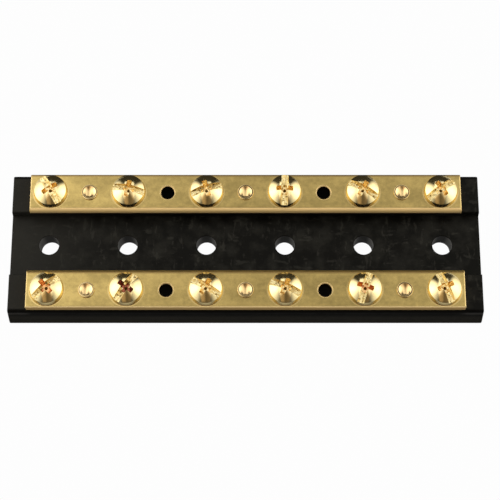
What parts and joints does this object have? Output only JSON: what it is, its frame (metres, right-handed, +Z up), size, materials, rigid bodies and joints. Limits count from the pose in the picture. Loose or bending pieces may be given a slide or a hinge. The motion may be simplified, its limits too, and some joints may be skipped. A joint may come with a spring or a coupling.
{
  "type": "terminal block",
  "caption": "Double bus-bar terminal block: black moulded base with a mounting channel between two riveted brass bars that carry combination-head terminal screws.",
  "frame": {"origin": "centre of the underside of the base", "axes": "+Z up, +X along the bars to the right, +Y towards the rear row"},
  "size_m": [0.1154, 0.036, 0.0131],
  "materials": {
    "moulded_base": "satin black moulding with faint scuffs",
    "bar_brass": "satin brushed brass",
    "screw_brass": "bright plated brass",
    "rivet_brass": "bright formed brass"
  },
  "bodies": {
    "block": {"base": "moulded_base", "front_bus_bar": "bar_brass", "rear_bus_bar": "bar_brass", "front_rivet_1": "rivet_brass", "front_rivet_2": "rivet_brass", "front_rivet_3": "rivet_brass", "rear_rivet_1": "rivet_brass", "rear_rivet_2": "rivet_brass", "rear_rivet_3": "rivet_brass"},
    "front_screw_1": {"front_screw_1": "screw_brass"},
    "front_screw_2": {"front_screw_2": "screw_brass"},
    "front_screw_3": {"front_screw_3": "screw_brass"},
    "front_screw_4": {"front_screw_4": "screw_brass"},
    "front_screw_5": {"front_screw_5": "screw_brass"},
    "front_screw_6": {"front_screw_6": "screw_brass"},
    "rear_screw_1": {"rear_screw_1": "screw_brass"},
    "rear_screw_2": {"rear_screw_2": "screw_brass"},
    "rear_screw_3": {"rear_screw_3": "screw_brass"},
    "rear_screw_4": {"rear_screw_4": "screw_brass"},
    "rear_screw_5": {"rear_screw_5": "screw_brass"},
    "rear_screw_6": {"rear_screw_6": "screw_brass"}
  },
  "joints": [
    {"name": "front_screw_1_rise", "type": "slide", "parent": "block", "child": "front_screw_1", "axis": [0, 0, 1], "range_m": [0, 0.0039]},
    {"name": "front_screw_2_rise", "type": "slide", "parent": "block", "child": "front_screw_2", "axis": [0, 0, 1], "range_m": [0, 0.0039]},
    {"name": "front_screw_3_rise", "type": "slide", "parent": "block", "child": "front_screw_3", "axis": [0, 0, 1], "range_m": [0, 0.0039]},
    {"name": "front_screw_4_rise", "type": "slide", "parent": "block", "child": "front_screw_4", "axis": [0, 0, 1], "range_m": [0, 0.0039]},
    {"name": "front_screw_5_rise", "type": "slide", "parent": "block", "child": "front_screw_5", "axis": [0, 0, 1], "range_m": [0, 0.0039]},
    {"name": "front_screw_6_rise", "type": "slide", "parent": "block", "child": "front_screw_6", "axis": [0, 0, 1], "range_m": [0, 0.0039]},
    {"name": "rear_screw_1_rise", "type": "slide", "parent": "block", "child": "rear_screw_1", "axis": [0, 0, 1], "range_m": [0, 0.0039]},
    {"name": "rear_screw_2_rise", "type": "slide", "parent": "block", "child": "rear_screw_2", "axis": [0, 0, 1], "range_m": [0, 0.0039]},
    {"name": "rear_screw_3_rise", "type": "slide", "parent": "block", "child": "rear_screw_3", "axis": [0, 0, 1], "range_m": [0, 0.0039]},
    {"name": "rear_screw_4_rise", "type": "slide", "parent": "block", "child": "rear_screw_4", "axis": [0, 0, 1], "range_m": [0, 0.0039]},
    {"name": "rear_screw_5_rise", "type": "slide", "parent": "block", "child": "rear_screw_5", "axis": [0, 0, 1], "range_m": [0, 0.0039]},
    {"name": "rear_screw_6_rise", "type": "slide", "parent": "block", "child": "rear_screw_6", "axis": [0, 0, 1], "range_m": [0, 0.0039]}
  ]
}
